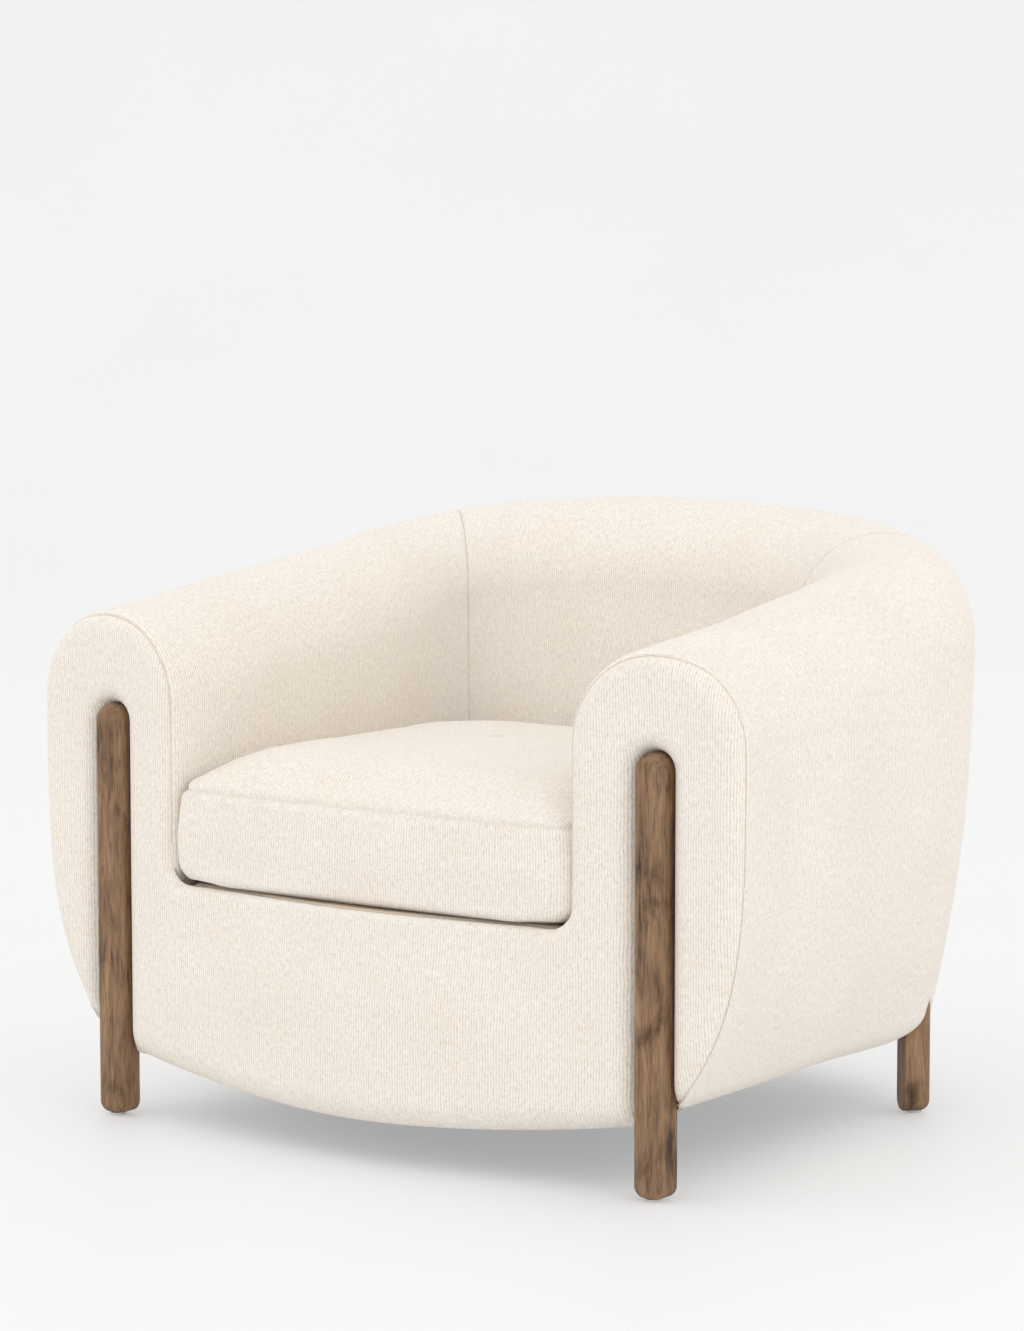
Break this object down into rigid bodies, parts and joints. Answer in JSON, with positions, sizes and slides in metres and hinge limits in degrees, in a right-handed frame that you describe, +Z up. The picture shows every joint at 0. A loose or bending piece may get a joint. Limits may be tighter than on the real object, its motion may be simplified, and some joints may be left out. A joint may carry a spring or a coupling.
{
  "type": "upholstered armchair",
  "caption": "Curved tub armchair in cream woven fabric with a loose box cushion and round-ended timber legs let into its rounded arms.",
  "frame": {"origin": "on the floor under the middle of the chair's outline", "axes": "+Z up, the chair faces -Y, +X towards the sitter's left (the viewer's right from the front)"},
  "size_m": [0.9766, 0.8282, 0.707],
  "materials": {
    "leg_wood": "matte, weathered brown with dark grain",
    "glide": "matt grey",
    "frame_wood": "sawn, unfinished",
    "zinc_steel": "zinc plated",
    "spring_steel": "oiled",
    "felt": "needled felt",
    "foam": "open-cell foam",
    "cream_fabric": "woven, slubby rib",
    "deck_cloth": "plain weave",
    "dust_cloth": "non-woven",
    "fibre": "carded fibre",
    "zip_cloth": "tape",
    "zip_plastic": "moulded",
    "zip_metal": "satin"
  },
  "bodies": {
    "chair": {"leg_front_right": "leg_wood", "leg_front_left": "leg_wood", "leg_rear_right": "leg_wood", "leg_rear_left": "leg_wood", "glide_front_right": "glide", "glide_front_left": "glide", "glide_rear_right": "glide", "glide_rear_left": "glide", "arm_post_right": "frame_wood", "arm_post_left": "frame_wood", "rear_post_right": "frame_wood", "rear_post_left": "frame_wood", "side_rail_right": "frame_wood", "side_rail_left": "frame_wood", "arm_upright_right": "frame_wood", "arm_upright_left": "frame_wood", "arm_top_rail_right": "frame_wood", "arm_top_rail_left": "frame_wood", "back_top_rail": "frame_wood", "front_rail": "frame_wood", "back_rail": "frame_wood", "back_uprights": "frame_wood", "corner_blocks": "frame_wood", "leg_bolts": "zinc_steel", "leg_inserts": "zinc_steel", "seat_springs": "spring_steel", "spring_clips": "spring_steel", "spring_ties": "spring_steel", "deck_insulator": "felt", "deck_pad": "foam", "front_pad": "foam", "arm_pad_right": "foam", "arm_pad_left": "foam", "back_pad": "foam", "front_cover": "cream_fabric", "arm_cover_right": "cream_fabric", "arm_cover_left": "cream_fabric", "back_cover": "cream_fabric", "deck_cover": "deck_cloth", "dust_cover": "dust_cloth"},
    "cushion": {"cushion_core": "foam", "cushion_wrap": "fibre", "cushion_top_panel": "cream_fabric", "cushion_bottom_panel": "cream_fabric", "cushion_boxing": "cream_fabric", "zip_tape": "zip_cloth", "zip_teeth": "zip_plastic"},
    "zip_slider_body": {"zip_slider": "zip_metal"},
    "zip_pull_body": {"zip_pull": "zip_metal"}
  },
  "joints": [
    {"name": "cushion_lift", "type": "slide", "parent": "chair", "child": "cushion", "axis": [0, 0, 1], "range_m": [0, 0.35]},
    {"name": "zip_travel", "type": "slide", "parent": "cushion", "child": "zip_slider_body", "axis": [-1, 0, 0], "range_m": [0, 0.228]},
    {"name": "zip_pull_swing", "type": "hinge", "parent": "zip_slider_body", "child": "zip_pull_body", "pos_m": [0.114, 0.15132, 0.3432], "axis": [0, 0, -1], "range_deg": [0, 170]}
  ]
}
